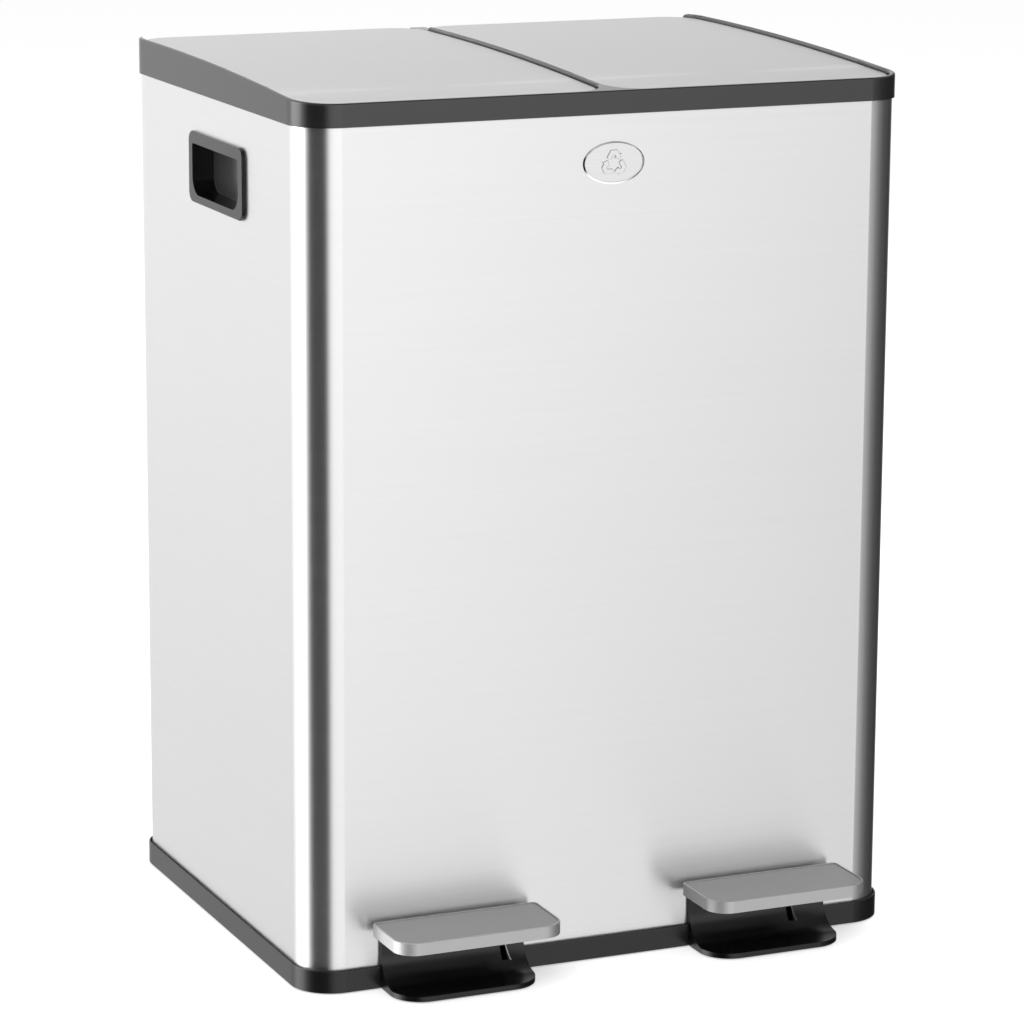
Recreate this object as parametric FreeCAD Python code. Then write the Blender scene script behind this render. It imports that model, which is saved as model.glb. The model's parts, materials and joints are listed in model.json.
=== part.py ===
"""Double pedal bin: two lift-out buckets in one steel cabinet, each with its own pedal and lid.

Millimetres. +Z is up, the front faces -Y, +X is to the right seen from the front.
The pieces are drawn about the middle of the cabinet, on the floor, and are exported with
the origin on the floor under the middle of the whole footprint, pedals included.
Each pedal lever rocks on a pin under its bucket, and its rear end lifts a wire rod
that turns the lid about a hinge along the cabinet's rear edge.
"""
import FreeCAD
import Part
import os
from math import asin, cos, degrees, radians, sin, sqrt, tan

os.makedirs("parts", exist_ok=True)
Vec = FreeCAD.Vector
X_AXIS = Vec(1, 0, 0)

# ------------------------------------------------------------------ cabinet
body_width = 480.0
body_depth = 378.0
body_height = 668.45        # highest line of the rails
body_corner_r = 29.0
sheet = 0.6                 # steel wrap
seam_half = 6.0             # the wrap's ends lap at the back over twice this width
foot_proud = 1.0            # rubber feet below the base band
band_height = 17.0
frame_high = 27.45          # the dark top frame, from its lower edge to that line
seat_gap = 0.3              # between pieces that rest on each other
wall = 2.0                  # general plastic wall

half_w = body_width / 2
half_d = body_depth / 2
inner_w = half_w - sheet
inner_d = half_d - sheet
frame_bottom = body_height - frame_high

# ------------------------------------------------------------------ top frame and lids
frame_over = 1.85           # frame stands out of the steel by this much
rail_width = 3.9            # rounded rail round each lid
rail_round = 1.6
crown_in = 63.0             # the highest line is this far in front of the steel's back
crown_radius = 4850.0       # the tops curve down to the front on this radius
lid_sunk = 2.6              # lid skin below the rails
lid_gap = 0.75
lid_corner_r = 27.0
lid_rear_in = 1.5           # rear edge of the lid skins, from the steel's back
lid_skin = 0.8
lid_rim = 3.4               # depth of the skin's turned-down rim
lid_round = 1.5
liner_gap = 0.3
liner_wall = 2.2
liner_room = 3.0            # the liner ends this far above the frame's step
liner_clear = 1.1           # between the liner's rear wall and the hinge knuckles
bumper_gap = 0.3
bumper_half = 6.0
bumper_spread = 70.0
ledge_up = 3.0              # ledge above the frame's lower edge
step_up = 3.0               # narrow step inside the rails, above the ledge
frame_step_in = 1.35        # width of that step
rear_rail_down = 6.0        # the frame is cut down to this far below the hinges' axis
rail_fall = 37.0            # the frame falls away to the hinges over this length
rail_horn = 8.25            # the side rails keep their height to the rear corners over this width
rail_relief = 3.1           # extra room behind a lid's rear corners as it starts to swing
rail_relief_up = 1.0        # that room starts this far above the hinges' axis
web_half = 6.0              # raised web between the lids' rear corners

crown_top = body_height
crown_y = half_d - crown_in
ledge_top = frame_bottom + ledge_up     # the bucket rims hang here and the lid bumpers rest here
frame_step = ledge_top + step_up
liner_bottom = frame_step + liner_room
lid_rear_y = half_d - lid_rear_in
rail_end_y = half_d - rail_fall

# ------------------------------------------------------------------ hinge, rods and levers
hinge_in = 4.0              # hinge axis in front of the lids' rear edges
hinge_down = 8.45           # and below the rails' highest line
hinge_pin_r = 1.5
hinge_knuckle_r = 3.1
hinge_run = 0.05            # running clearance of pins in bores
hinge_spread = 75.0         # hinge stations either side of a lid's middle
knuckle_len = 18.0
ear_len = 6.0
knuckle_gap = 0.4
lid_open = 75.0             # degrees
lever_offset = 33.5         # lever and rod stand this far right of each half's middle
crank_reach = 22.0          # rod stands this far in front of the hinge axis
rod_r = 2.0
lever_thick = 3.0
pivot_y = -60.0
pivot_z = 34.0
pivot_r = 3.0
lever_depth = 11.0
slot_play = 1.3             # room beside the rod in the crank's slot
lug_margin = 2.4            # material round that slot
hook_play = 0.35            # room round the rod in the lever's slot
hook_slide = 1.0            # that slot is longer than wide by twice this much
hook_out = 3.5              # the rod's hooks stand out of the lever by this much
bracket_gap = 0.5
bracket_sheet = 2.0
bracket_half = 13.0
bracket_foot = 15.0
bracket_over = 8.0          # cheeks above the pivot
lever_room = 2.5            # beside the lever where it passes through the tray
lug_room = 4.5              # beside the crank's lug where it passes through the frame
guide_z = 330.0
guide_high = 12.0
guide_bore = 0.08

half_pitch = half_w / 2     # middle of each half of the bin
hinge_y = lid_rear_y - hinge_in
hinge_z = body_height - hinge_down
liner_rear_y = hinge_y - hinge_knuckle_r - liner_clear
rear_rail_top = hinge_z - rear_rail_down
rail_relief_z = hinge_z + rail_relief_up
rod_y = hinge_y - crank_reach
rod_travel = 2 * crank_reach * tan(radians(lid_open / 2))
rod_top_z = hinge_z - rod_travel / 2
rear_arm = rod_y - pivot_y
lever_swing = 2 * degrees(asin(rod_travel / 2 / rear_arm))
rod_bottom_z = pivot_z - rod_travel / 2
rod_side = lever_thick / 2 + 0.6 + rod_r
slot_near = crank_reach
slot_far = crank_reach / cos(radians(lid_open / 2))
slot_half = rod_r + slot_play

# ------------------------------------------------------------------ pedals and guards
pedal_out = 6.4             # pedal middles stand this far outside the middles of the halves
pedal_half = 66.0
pedal_front = 63.9          # front edge, from the body's face
pedal_back = 6.0            # rear edge, from the body's face
pedal_front_r = 16.6
pedal_back_r = 4.5
pedal_top = 53.6
pedal_height = 9.25
pedal_rim = 1.4
pad_sunk = 0.7
pad_thick = 1.6
pad_gap = 0.15
pedal_hollow = 4.6
pedal_wall = 2.6
flange_thick = 2.4
screw_r = 1.8
screw_head_r = 1.9 * screw_r
screw_run = 0.05
screw_bite = 2.0            # length of a pedal screw in the trim
guard_half = 57.2
guard_front = 45.0          # front of the lip, from the body's face
guard_wall = 3.6
guard_lip = 4.0
guard_bend_r = 22.0
guard_corner_r = 24.0
guard_top = 47.0
slot_side = 0.8             # room beside the lever in the guard's slot
slot_bottom = 12.0

pedal_x = half_pitch + pedal_out
slot_width = lever_thick + 2 * slot_side

# ------------------------------------------------------------------ base tray
band_out = 2.8              # band stands out of the steel by this much
tray_lip = 1.6              # the band's top slopes down to the steel over this width
tray_floor_z = 4.0
tray_floor = 2.5
steel_bottom = 8.0
tray_inner_top = 22.0
rib_high = 4.0
under_rib_low = 1.8
under_rib_front = 44.0      # first cross rib under the tray, from the steel's front
under_rib_rear = 79.0       # last one, from the steel's back
under_rib_count = 4
under_rib_x = (-180.0, -60.0, 60.0, 180.0)
foot_r = 11.0
foot_inset = 34.0
foot_seat_z = 3.0
guard_screw_seat = 1.3      # the guard screws' heads end this far above the band's lower edge
platform_top = 62.5
platform_thick = 2.5
platform_back = 15.5        # the raised floor ends this far in front of the rods

platform_rear = rod_y - platform_back
footprint_front = -half_d - pedal_front
footprint_rear = half_d + band_out
footprint_middle = (footprint_front + footprint_rear) / 2

# ------------------------------------------------------------------ buckets
opening_side = 17.5         # ledge width inside the steel's sides
opening_inner = 12.0
opening_ahead = 11.0        # ledge width inside the steel's front
opening_back = 19.5         # from the openings' rear to the rods
opening_r = 22.0
bucket_fit = 1.5
bucket_wall = 1.8
bucket_bottom = 64.0
bucket_floor = 2.5
bucket_foot_r = 7.0
bucket_draft = 9.0
bucket_rim = 2.5
bucket_rim_out = 5.5
bail_r = 2.0
bail_up = 6.4               # bail above the ledge
bail_bore = 0.08
bail_end = 6.2              # the bail's ends stand this far outside the bucket's mouth
ear_near = 1.0
ear_far = 4.0
ear_half = 5.5
ear_over = 5.0
grip_r = 3.3
grip_half = 28.0

opening_outer = half_w - opening_side
opening_front = -half_d + opening_ahead
opening_rear = rod_y - opening_back
bail_z = ledge_top + bail_up
bail_pivot_y = (opening_front + opening_rear) / 2

# ------------------------------------------------------------------ side handles and badge
handle_y = -9.5
handle_down = 56.0          # handle's middle below the frame
handle_len = 117.0
handle_high = 54.0
handle_r = 8.0
handle_proud = 2.7
handle_lap = 3.4            # the flange laps the steel round its window by this much
grip_len = 100.0
grip_below = 20.7           # the grip's limits, from the handle's middle
grip_above = 17.8
grip_depth = 18.0
grip_bottom_r = 13.5
grip_top_r = 2.5
cup_wall = 1.6
badge_down = 35.5           # badge's middle below the frame
badge_len = 48.0
badge_high = 30.0
badge_thick = 0.5
badge_bevel = 0.25

handle_z = frame_bottom - handle_down
grip_low = handle_z - grip_below
grip_high = handle_z + grip_above
badge_z = frame_bottom - badge_down


# ------------------------------------------------------------------ shape helpers
def rounded_wire(x0, x1, y0, y1, z, radii):
    """Closed outline in a level plane; radii are front left, front right, rear right, rear left."""
    front_left, front_right, rear_right, rear_left = radii
    corners = [
        (x0, y0, front_left, 180),
        (x1, y0, front_right, 270),
        (x1, y1, rear_right, 0),
        (x0, y1, rear_left, 90),
    ]
    ends = []
    arcs = []
    for x, y, r, start in corners:
        cx = x + r if x == x0 else x - r
        cy = y + r if y == y0 else y - r
        points = []
        for turn in (0, 45, 90):
            a = radians(start + turn)
            points.append(Vec(cx + r * cos(a), cy + r * sin(a), z))
        arcs.append(Part.Arc(*points).toShape())
        ends.append((points[0], points[2]))
    edges = []
    for i, arc in enumerate(arcs):
        edges.append(arc)
        here = ends[i][1]
        there = ends[(i + 1) % 4][0]
        if here.distanceToPoint(there) > 1e-6:
            edges.append(Part.LineSegment(here, there).toShape())
    return Part.Wire(edges)


def slab(x0, x1, y0, y1, z0, z1, r):
    """Upright prism with rounded corners, of one radius or of four."""
    radii = r if isinstance(r, tuple) else (r, r, r, r)
    face = Part.Face(rounded_wire(x0, x1, y0, y1, z0, radii))
    return face.extrude(Vec(0, 0, z1 - z0))


def block(x0, x1, y0, y1, z0, z1):
    return Part.makeBox(x1 - x0, y1 - y0, z1 - z0, Vec(x0, y0, z0))


def rod_x(x0, x1, y, z, r):
    return Part.makeCylinder(r, x1 - x0, Vec(x0, y, z), X_AXIS)


def side_profile(points, x0, x1):
    """Prism along X whose outline is given by (y, z) points."""
    outline = [Vec(x0, y, z) for y, z in points]
    face = Part.Face(Part.makePolygon(outline + outline[:1]))
    return face.extrude(Vec(x1 - x0, 0, 0))


def front_profile(points, y0, y1):
    """Prism along Y whose outline is given by (x, z) points."""
    outline = [Vec(x, y0, z) for x, z in points]
    face = Part.Face(Part.makePolygon(outline + outline[:1]))
    return face.extrude(Vec(0, y1 - y0, 0))


def under_crown(drop):
    """Everything below the curved top line of the rails, lowered by drop."""
    reach = half_d + 40
    low = frame_bottom - 141.0
    x0 = -half_w - 40
    radius = crown_radius - drop
    centre_z = crown_top - crown_radius

    def on_arc(y):
        return Vec(x0, y, centre_z + sqrt(radius ** 2 - (y - crown_y) ** 2))

    front = on_arc(-reach)
    rear = on_arc(reach)
    arc = Part.Arc(front, on_arc(0), rear).toShape()
    low_front = Vec(x0, -reach, low)
    low_rear = Vec(x0, reach, low)
    edges = [
        Part.LineSegment(low_front, front).toShape(),
        arc,
        Part.LineSegment(rear, low_rear).toShape(),
        Part.LineSegment(low_rear, low_front).toShape(),
    ]
    return Part.Face(Part.Wire(edges)).extrude(Vec(2 * abs(x0), 0, 0))


def crown_z(y, drop):
    radius = crown_radius - drop
    return crown_top - crown_radius + sqrt(radius ** 2 - (y - crown_y) ** 2)


def bent_wire(points, bend_r, wire_r):
    """Round wire along straight runs joined by tangent arcs."""
    edges = []
    start = points[0]
    for i in range(1, len(points) - 1):
        back = (points[i - 1] - points[i]).normalize()
        ahead = (points[i + 1] - points[i]).normalize()
        half = back.getAngle(ahead) / 2
        cut = bend_r / tan(half)
        first = points[i] + back * cut
        last = points[i] + ahead * cut
        toward = (back + ahead).normalize()
        middle = points[i] + toward * (bend_r / sin(half) - bend_r)
        edges.append(Part.LineSegment(start, first).toShape())
        edges.append(Part.Arc(first, middle, last).toShape())
        start = last
    edges.append(Part.LineSegment(start, points[-1]).toShape())
    spine = Part.Wire(edges)
    aim = (points[1] - points[0]).normalize()
    circle = Part.Wire([Part.Circle(points[0], aim, wire_r).toShape()])
    return spine.makePipeShell([circle], True, False)


def round_edges(shape, radius, wanted):
    """Fillet the edges for which wanted(edge) is true."""
    edges = [e for e in shape.Edges if wanted(e)]
    return shape.makeFillet(radius, edges)


def level_edges(z):
    def wanted(edge):
        box = edge.BoundBox
        return abs(box.ZMin - z) < 0.01 and abs(box.ZMax - z) < 0.01
    return wanted


def crown_edges(drop):
    """Edges that lie on the curved top surface."""
    def wanted(edge):
        for vertex in edge.Vertexes:
            if abs(vertex.Z - crown_z(vertex.Y, drop)) > 0.02:
                return False
        box = edge.BoundBox
        return box.ZMin > frame_step and (box.XLength > 0.5 or box.YLength > 0.5)
    return wanted


def mirror_x(shape):
    return shape.mirror(Vec(0, 0, 0), X_AXIS)


def fuse_all(shapes):
    whole = shapes[0]
    for shape in shapes[1:]:
        whole = whole.fuse(shape)
    return whole.removeSplitter()


def cut_all(shape, tools):
    for tool in tools:
        shape = shape.cut(tool)
    return shape


def export(name, shape):
    shape.translate(Vec(0, -footprint_middle, 0))
    shape.exportStep("parts/" + name + ".step")


def side_sign(side):
    return -1 if side == "left" else 1


def lever_x(side):
    return side_sign(side) * half_pitch + lever_offset


# ------------------------------------------------------------------ cabinet pieces
def make_body_shell():
    """Steel wrap, lapped at the back, with the handle windows and a lever slot behind each guard."""
    top = frame_step - seat_gap
    outer = slab(-half_w, half_w, -half_d, half_d, steel_bottom, top, body_corner_r)
    inner = slab(-inner_w, inner_w, -inner_d, inner_d, steel_bottom - 1, top + 1, body_corner_r - sheet)
    shell = outer.cut(inner)
    for sign in (-1, 1):
        x0 = sign * half_w - 5
        shell = shell.cut(upright_slab(handle_y - handle_len / 2 + handle_lap,
                                       handle_y + handle_len / 2 - handle_lap,
                                       handle_z - handle_high / 2 + handle_lap,
                                       handle_z + handle_high / 2 - handle_lap,
                                       x0, x0 + 10, (handle_r - handle_lap,) * 4))
    for side in ("left", "right"):
        x = lever_x(side)
        shell = shell.cut(block(x - slot_width / 2, x + slot_width / 2, -half_d - 2, -inner_d + 2,
                                slot_bottom, guard_top + 1))
    seam = block(-seam_half, seam_half, half_d - sheet, half_d + sheet, foot_proud + band_height + 1,
                 frame_bottom - 1)
    return shell.fuse(seam).removeSplitter()


def make_base_tray():
    """Tray with the visible band, a groove that holds the steel and a ribbed floor."""
    low = foot_proud
    top = low + band_height
    out_w = half_w + band_out
    out_d = half_d + band_out
    band = slab(-out_w, out_w, -out_d, out_d, low, top, body_corner_r + band_out)
    band = round_edges(band, 0.9, level_edges(top))
    fit_w = half_w + seat_gap
    fit_d = half_d + seat_gap
    groove = slab(-fit_w, fit_w, -fit_d, fit_d, steel_bottom - seat_gap, top + 1, body_corner_r + seat_gap)
    slope_face = rounded_wire(-fit_w, fit_w, -fit_d, fit_d, top - 3.0, (body_corner_r + seat_gap,) * 4)
    lip = tray_lip
    slope_top = rounded_wire(-fit_w - lip, fit_w + lip, -fit_d - lip, fit_d + lip, top + 0.2,
                             (body_corner_r + seat_gap + lip,) * 4)
    slope = Part.makeLoft([slope_face, slope_top], True, True)
    tray = cut_all(band, [groove, slope])
    hold_w = inner_w - seat_gap
    hold_d = inner_d - seat_gap
    hold_r = body_corner_r - sheet - seat_gap
    hold = slab(-hold_w, hold_w, -hold_d, hold_d, tray_floor_z, tray_inner_top, hold_r)
    inside = slab(-hold_w + wall, hold_w - wall, -hold_d + wall, hold_d - wall,
                  tray_floor_z + tray_floor, tray_inner_top + 1, hold_r - wall)
    under = slab(-hold_w, hold_w, -hold_d, hold_d, low - 1, tray_floor_z, hold_r)
    tray = tray.cut(under)
    tray = tray.fuse(hold).cut(inside)
    rib_z = tray_floor_z + tray_floor
    for y in (-110.0, 20.0, 120.0):
        tray = tray.fuse(block(-hold_w + 1, hold_w - 1, y - 1, y + 1, rib_z - 0.5, rib_z + rib_high))
    rib_front = -half_d + under_rib_front
    rib_pitch = (half_d - under_rib_rear - rib_front) / (under_rib_count - 1)
    for y in [rib_front + i * rib_pitch for i in range(under_rib_count)]:
        tray = tray.fuse(block(-hold_w + 1, hold_w - 1, y - 0.8, y + 0.8, under_rib_low, tray_floor_z + 0.5))
    for x in under_rib_x:
        tray = tray.fuse(block(x - 0.8, x + 0.8, rib_front, hold_d - 1, under_rib_low,
                               tray_floor_z + 0.5))
    for side in ("left", "right"):
        x = side_sign(side) * pedal_x
        reach = guard_half + seat_gap
        notch = block(x - reach, x + reach, -out_d - 1, -half_d, low - 1, top + 1)
        beside = lever_thick / 2 + lever_room
        lever = block(lever_x(side) - beside, lever_x(side) + beside, -half_d, -hold_d + wall + 1,
                      slot_bottom, tray_inner_top + 1)
        well = block(lever_x(side) - beside, lever_x(side) + beside, pivot_y - 55, rod_y + 13.5,
                     rib_z, rib_z + rib_high + 1)
        tongue = block(x - reach, x + reach, -out_d - 1, -hold_d + 0.1, low - 1, tray_floor_z)
        tray = cut_all(tray, [notch, tongue, lever, well])
        for sx, sy in bracket_screw_places(side) + guard_screw_places(side):
            tray = tray.cut(Part.makeCylinder(screw_r + screw_run, 8, Vec(sx, sy, low)))
    for x, y in foot_places():
        tray = tray.fuse(Part.makeCylinder(foot_r + 2, tray_floor_z - low - 1.0, Vec(x, y, low + 1.0)))
    for x, y in foot_places():
        tray = tray.cut(Part.makeCylinder(foot_r + 0.3, 2.0, Vec(x, y, low)))
    return tray.removeSplitter()


def foot_places():
    x = half_w - foot_inset
    y = half_d - foot_inset
    return [(-x, -y), (x, -y), (x, y), (-x, y)]


def make_rubber_feet():
    feet = []
    for x, y in foot_places():
        foot = Part.makeCone(foot_r - 1.0, foot_r, foot_seat_z, Vec(x, y, 0))
        feet.append(foot)
    return Part.makeCompound(feet)


def lid_plan(side):
    """Plan limits of a lid skin: x0, x1, y0, y1."""
    outer = half_w + frame_over - rail_width - lid_gap
    inner = rail_width / 2 + lid_gap
    front = -(half_d + frame_over - rail_width - lid_gap)
    if side == "left":
        return -outer, -inner, front, lid_rear_y
    return inner, outer, front, lid_rear_y


def make_top_frame():
    """One moulding: rails round both lids, divider, bucket ledges and hinge ears."""
    out_w = half_w + frame_over
    out_d = half_d + frame_over
    out_r = body_corner_r + frame_over
    frame = slab(-out_w, out_w, -out_d, out_d, frame_bottom, crown_top + 5, out_r)
    frame = frame.common(under_crown(0.0))
    g = lid_gap
    for side in ("left", "right"):
        x0, x1, y0, y1 = lid_plan(side)
        frame = frame.cut(slab(x0 - g, x1 + g, y0 - g, out_d - rail_width, frame_step,
                               crown_top + 6, lid_corner_r + g))
    frame = round_edges(frame, rail_round, crown_edges(0.0))
    frame = cut_all(frame, rear_cuts())
    for side in ("left", "right"):
        x0, x1, y0, y1 = lid_plan(side)
        frame = frame.cut(slab(x0 - g, x1 + g, y0 - g, y1 + g, frame_step, crown_top + 6,
                               lid_corner_r + g))
        frame = frame.cut(rear_relief(side))
    for side in ("left", "right"):
        x0, x1, y0, y1 = lid_plan(side)
        s = frame_step_in - lid_gap
        frame = frame.cut(slab(x0 + s, x1 - s, y0 + s, y1 - s, ledge_top, frame_step + 1,
                               lid_corner_r - s))
        sign = side_sign(side)
        a = sign * opening_inner
        b = sign * opening_outer
        frame = frame.cut(slab(min(a, b), max(a, b), opening_front, opening_rear,
                               frame_bottom - 1, ledge_top + 1, opening_r))
        x = lever_x(side)
        beside = lever_thick / 2 + lug_room
        frame = frame.cut(block(x - beside, x + beside + 2, rod_y - 10.5, hinge_y - 10, frame_bottom - 1,
                                ledge_top + 1))
    fit_w = half_w + seat_gap
    fit_d = half_d + seat_gap
    hold_w = inner_w - seat_gap
    hold_d = inner_d - seat_gap
    groove = slab(-fit_w, fit_w, -fit_d, fit_d, frame_bottom - 1, frame_step, body_corner_r + seat_gap)
    core = slab(-hold_w, hold_w, -hold_d, hold_d, frame_bottom - 2, frame_step + 1,
                body_corner_r - sheet - seat_gap)
    frame = frame.cut(groove.cut(core))
    for side in ("left", "right"):
        for x in hinge_stations(side):
            inner = knuckle_len / 2 + knuckle_gap
            for x0 in (x - inner - ear_len, x + inner):
                frame = frame.fuse(hinge_ear(x0))
    for side in ("left", "right"):
        for x in hinge_stations(side):
            reach = knuckle_len / 2 + knuckle_gap + ear_len + 1
            frame = frame.cut(rod_x(x - reach, x + reach, hinge_y, hinge_z, hinge_pin_r + hinge_run))
    return frame.removeSplitter()


def rear_cuts():
    """Material taken off the frame's rear so that the lids' rear edges can swing down."""
    rear = half_d + 20
    high = crown_top + 20
    end = rail_end_y
    outline = [
        (end, high),
        (end, crown_top + 1),
        (end + 1.2, crown_top - 1.0),
        (end + 3.2, crown_top - 3.4),
        (end + 6.0, crown_top - 4.6),
        (end + 24.0, crown_top - 7.0),
        (end + 33.0, rear_rail_top),
        (rear, rear_rail_top),
        (rear, high),
    ]
    web = [
        (end + 4.0, high),
        (end + 4.0, crown_top + 1),
        (end + 7.0, crown_top - lid_sunk - 0.4),
        (half_d - 3.0, crown_top - lid_sunk - 0.6),
        (half_d + 5.0, crown_top - 12.0),
        (rear, crown_top - 12.0),
        (rear, high),
    ]
    horn = half_w + frame_over - rail_horn
    cuts = [side_profile(web, -web_half - 1, web_half + 1)]
    for sign in (-1, 1):
        ends = sorted((sign * web_half, sign * horn))
        cuts.append(side_profile(outline, ends[0], ends[1]))
        shoulder = [
            (horn - 1, high),
            (horn + 3.0, high),
            (horn + 3.0, crown_top - 0.2),
            (horn + 1.0, crown_top - 1.4),
            (horn, crown_top - 3.6),
            (horn - 1, crown_top - 3.6),
        ]
        cuts.append(front_profile([(sign * x, z) for x, z in shoulder], end, rear))
    return cuts


def rear_relief(side):
    """Room inside a side rail's rear end, where the lid's corner moves back as it rises."""
    x0, x1, y0, y1 = lid_plan(side)
    g = lid_gap
    room = slab(x0 - g, x1 + g, y0 - g, y1 + g + rail_relief, rail_relief_z, crown_top + 6, lid_corner_r + g)
    ends = sorted((side_sign(side) * (half_w + frame_over), side_sign(side) * (half_w - 2 * rail_horn)))
    return room.common(block(ends[0], ends[1], rail_end_y, half_d + 20, rail_relief_z - 1, crown_top + 7))


def hinge_stations(side):
    middle = side_sign(side) * half_pitch
    return middle - hinge_spread, middle + hinge_spread


def hinge_ear(x0):
    r = hinge_knuckle_r
    ear = rod_x(x0, x0 + ear_len, hinge_y, hinge_z, r)
    ear = ear.fuse(block(x0, x0 + ear_len, hinge_y - r, hinge_y + 1.0, frame_step, hinge_z))
    low = rear_rail_top - 0.4
    ear = ear.fuse(block(x0, x0 + ear_len, hinge_y - r, inner_d - seat_gap, frame_step - 2, low))
    return ear.fuse(block(x0, x0 + ear_len, hinge_y - r, half_d, frame_step, low))


def make_lid_panel(side):
    """Satin steel skin with its rim turned down all round."""
    x0, x1, y0, y1 = lid_plan(side)
    skin = slab(x0, x1, y0, y1, frame_step, crown_top + 5, lid_corner_r)
    skin = skin.common(under_crown(lid_sunk))
    skin = round_edges(skin, lid_round, crown_edges(lid_sunk))
    t = lid_skin
    inside = slab(x0 + t, x1 - t, y0 + t, y1 - t, frame_step - 1, crown_top + 5, lid_corner_r - t)
    inside = inside.common(under_crown(lid_sunk + t))
    return cut_all(skin, [inside, under_crown(lid_sunk + lid_rim)])


def make_lid_liner(side):
    """Moulded liner under the skin, with hinge knuckles, ribs and the slotted crank lug."""
    x0, x1, y0, y1 = lid_plan(side)
    g = lid_skin + liner_gap
    drop = lid_sunk + g
    rear_r = 20.0
    front_r = lid_corner_r - g
    radii = (front_r, front_r, rear_r, rear_r)
    body = slab(x0 + g, x1 - g, y0 + g, liner_rear_y, liner_bottom, crown_top + 5, radii)
    body = body.common(under_crown(drop))
    w = liner_wall
    radii = (front_r - w, front_r - w, rear_r - w, rear_r - w)
    hollow = slab(x0 + g + w, x1 - g - w, y0 + g + w, liner_rear_y - w, liner_bottom - 1,
                  crown_top + 5, radii)
    hollow = hollow.common(under_crown(drop + w))
    liner = body.cut(hollow)
    middle = (x0 + x1) / 2
    rib_room = under_crown(drop + 1.0).cut(under_crown(drop + w + 4.0))
    for y in (-60.0, 60.0):
        liner = liner.fuse(rib_room.common(block(x0 + g + 1, x1 - g - 1, y - 0.8, y + 0.8,
                                           frame_bottom, crown_top + 5)))
    for x in (middle - 55, middle):
        liner = liner.fuse(rib_room.common(block(x - 0.8, x + 0.8, -half_d + 49, liner_rear_y - 1,
                                           frame_bottom, crown_top + 5)))
    for x in hinge_stations(side):
        half = knuckle_len / 2
        knuckle = rod_x(x - half, x + half, hinge_y, hinge_z, hinge_knuckle_r)
        tab = block(x - half, x + half, liner_rear_y - 1, hinge_y, hinge_z - hinge_knuckle_r,
                    hinge_z + hinge_knuckle_r)
        liner = fuse_all([liner, knuckle, tab])
        liner = liner.cut(rod_x(x - half - 1, x + half + 1, hinge_y, hinge_z, hinge_pin_r + hinge_run))
    liner = liner.fuse(crank_lug(side, drop + 1.0))
    return liner.cut(crank_slot(side)).removeSplitter()


def along_crank(distance, across):
    """Point (y, z) at a distance from the hinge axis along the crank, and beside it."""
    a = radians(lid_open / 2)
    y = hinge_y - distance * cos(a) + across * sin(a)
    z = hinge_z - distance * sin(a) - across * cos(a)
    return y, z


def crank_lug(side, drop):
    """Plate that hangs from the liner at the lever's place, round the slot."""
    x0 = lever_x(side) - lever_thick / 2
    x1 = lever_x(side) + lever_thick / 2
    half = slot_half + lug_margin
    foot = slot_far + half
    points = [
        along_crank(8.0, -half),
        along_crank(foot - 3.0, -half),
        along_crank(foot, -half + 3.5),
        along_crank(foot, half - 3.5),
        along_crank(foot - 3.0, half),
        along_crank(13.0, half),
    ]
    top = crown_z(hinge_y, drop)
    plate = side_profile(points, x0, x1)
    root = side_profile([(hinge_y - 34, top), (hinge_y - 34, top - 3.5), along_crank(slot_near + 2, -half),
                         along_crank(10.0, half), (hinge_y - 6, top - 6), (hinge_y - 6, top)], x0, x1)
    return plate.fuse(root).common(under_crown(drop))


def crank_slot(side):
    x0 = lever_x(side) - lever_thick / 2 - 1
    x1 = lever_x(side) + lever_thick / 2 + 1
    near_y, near_z = along_crank(slot_near, 0)
    far_y, far_z = along_crank(slot_far, 0)
    walls = side_profile([along_crank(slot_near, -slot_half), along_crank(slot_far, -slot_half),
                          along_crank(slot_far, slot_half), along_crank(slot_near, slot_half)], x0, x1)
    return fuse_all([rod_x(x0, x1, near_y, near_z, slot_half), walls, rod_x(x0, x1, far_y, far_z, slot_half)])


def make_hinge_pins(side):
    pins = []
    reach = knuckle_len / 2 + knuckle_gap + ear_len
    for x in hinge_stations(side):
        pins.append(rod_x(x - reach, x + reach, hinge_y, hinge_z, hinge_pin_r))
    return Part.makeCompound(pins)


def make_lid_bumpers(side):
    """Two rubber buffers under the liner's front edge, resting on the frame's ledge."""
    x0, x1, y0, y1 = lid_plan(side)
    middle = (x0 + x1) / 2
    front = y0 + frame_step_in - lid_gap + bumper_gap
    rear = opening_front - bucket_rim_out - bumper_gap
    low = ledge_top + seat_gap
    bumpers = []
    for x in (middle - bumper_spread, middle + bumper_spread):
        bumpers.append(slab(x - bumper_half, x + bumper_half, front, rear, low, liner_bottom, 0.6))
    return Part.makeCompound(bumpers)


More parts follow.
